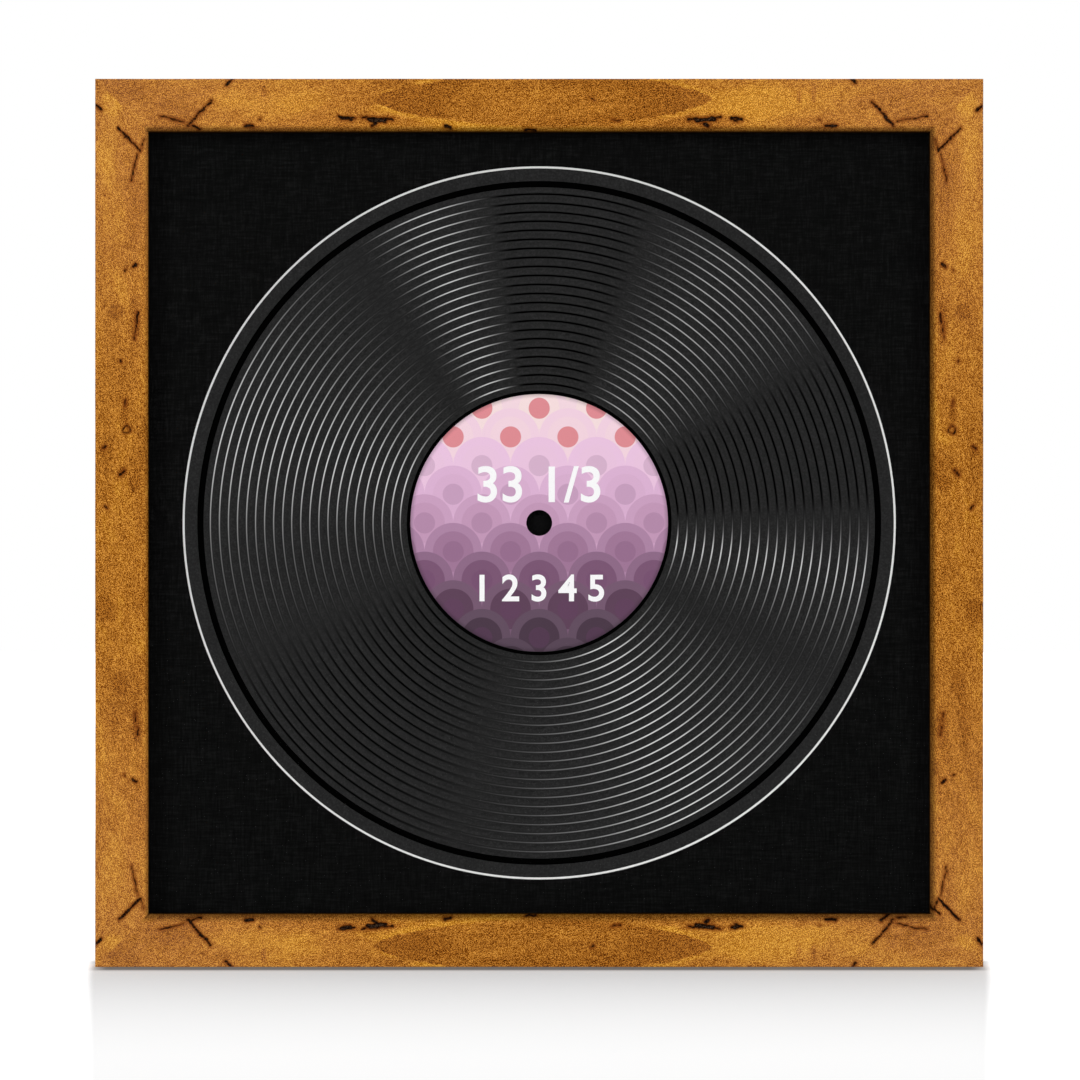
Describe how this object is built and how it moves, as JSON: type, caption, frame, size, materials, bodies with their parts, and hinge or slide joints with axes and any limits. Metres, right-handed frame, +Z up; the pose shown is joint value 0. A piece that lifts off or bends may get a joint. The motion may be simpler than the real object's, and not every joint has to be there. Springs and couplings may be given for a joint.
{
  "type": "vinyl record frame",
  "caption": "Square wooden wall frame showing a 12 inch record behind a round bevelled window in a black mat, closed at the back by turn buttons and hung on a saw-tooth hanger.",
  "frame": {"origin": "under the middle of the frame, on the surface it stands on", "axes": "+Z up, front face towards -Y, back and wall towards +Y, +X to the viewer's right"},
  "size_m": [0.3708, 0.0226, 0.3708],
  "materials": {
    "wood": "golden brown rustic stain, satin",
    "clear_sheet": "clear acrylic",
    "mat_face": "black linen texture, matt",
    "mat_core": "white, cut edge",
    "vinyl": "black, grooved, satin",
    "label": "printed in pinks and plums",
    "foam_board": "off-white, matt",
    "foam": "dark grey foam",
    "hardboard": "brown hardboard, screen-textured face",
    "zinc": "zinc plated",
    "brass_plate": "brass plated steel",
    "rubber": "matt black"
  },
  "bodies": {
    "frame": {"rail_top": "wood", "rail_right": "wood", "rail_bottom": "wood", "rail_left": "wood", "glazing": "clear_sheet", "mat_face_paper": "mat_face", "mat_core": "mat_core", "record_disc": "vinyl", "record_label_front": "label", "record_label_back": "label", "record_carrier": "foam_board", "foam_filler": "foam", "backing_board": "hardboard", "button_screw_top_1": "zinc", "button_screw_top_2": "zinc", "button_screw_right_1": "zinc", "button_screw_right_2": "zinc", "button_screw_bottom_1": "zinc", "button_screw_bottom_2": "zinc", "button_screw_left_1": "zinc", "button_screw_left_2": "zinc", "v_nail_top_right_1": "zinc", "v_nail_top_right_2": "zinc", "v_nail_bottom_right_1": "zinc", "v_nail_bottom_right_2": "zinc", "v_nail_bottom_left_1": "zinc", "v_nail_bottom_left_2": "zinc", "v_nail_top_left_1": "zinc", "v_nail_top_left_2": "zinc", "hanger": "brass_plate", "hanger_nail_1": "brass_plate", "hanger_nail_2": "brass_plate", "bumper_left": "rubber", "bumper_right": "rubber"},
    "button_top_1": {"turn_button_top_1": "zinc"},
    "button_top_2": {"turn_button_top_2": "zinc"},
    "button_right_1": {"turn_button_right_1": "zinc"},
    "button_right_2": {"turn_button_right_2": "zinc"},
    "button_bottom_1": {"turn_button_bottom_1": "zinc"},
    "button_bottom_2": {"turn_button_bottom_2": "zinc"},
    "button_left_1": {"turn_button_left_1": "zinc"},
    "button_left_2": {"turn_button_left_2": "zinc"}
  },
  "joints": [
    {"name": "turn_top_1", "type": "hinge", "parent": "frame", "child": "button_top_1", "pos_m": [-0.095, 0.0084, 0.3626], "axis": [0, 1, 0], "range_deg": [-90, 90]},
    {"name": "turn_top_2", "type": "hinge", "parent": "frame", "child": "button_top_2", "pos_m": [0.095, 0.0084, 0.3626], "axis": [0, 1, 0], "range_deg": [-90, 90]},
    {"name": "turn_right_1", "type": "hinge", "parent": "frame", "child": "button_right_1", "pos_m": [0.1772, 0.0084, 0.2804], "axis": [0, 1, 0], "range_deg": [-90, 90]},
    {"name": "turn_right_2", "type": "hinge", "parent": "frame", "child": "button_right_2", "pos_m": [0.1772, 0.0084, 0.0904], "axis": [0, 1, 0], "range_deg": [-90, 90]},
    {"name": "turn_bottom_1", "type": "hinge", "parent": "frame", "child": "button_bottom_1", "pos_m": [0.095, 0.0084, 0.0082], "axis": [0, 1, 0], "range_deg": [-90, 90]},
    {"name": "turn_bottom_2", "type": "hinge", "parent": "frame", "child": "button_bottom_2", "pos_m": [-0.095, 0.0084, 0.0082], "axis": [0, 1, 0], "range_deg": [-90, 90]},
    {"name": "turn_left_1", "type": "hinge", "parent": "frame", "child": "button_left_1", "pos_m": [-0.1772, 0.0084, 0.0904], "axis": [0, 1, 0], "range_deg": [-90, 90]},
    {"name": "turn_left_2", "type": "hinge", "parent": "frame", "child": "button_left_2", "pos_m": [-0.1772, 0.0084, 0.2804], "axis": [0, 1, 0], "range_deg": [-90, 90]}
  ]
}
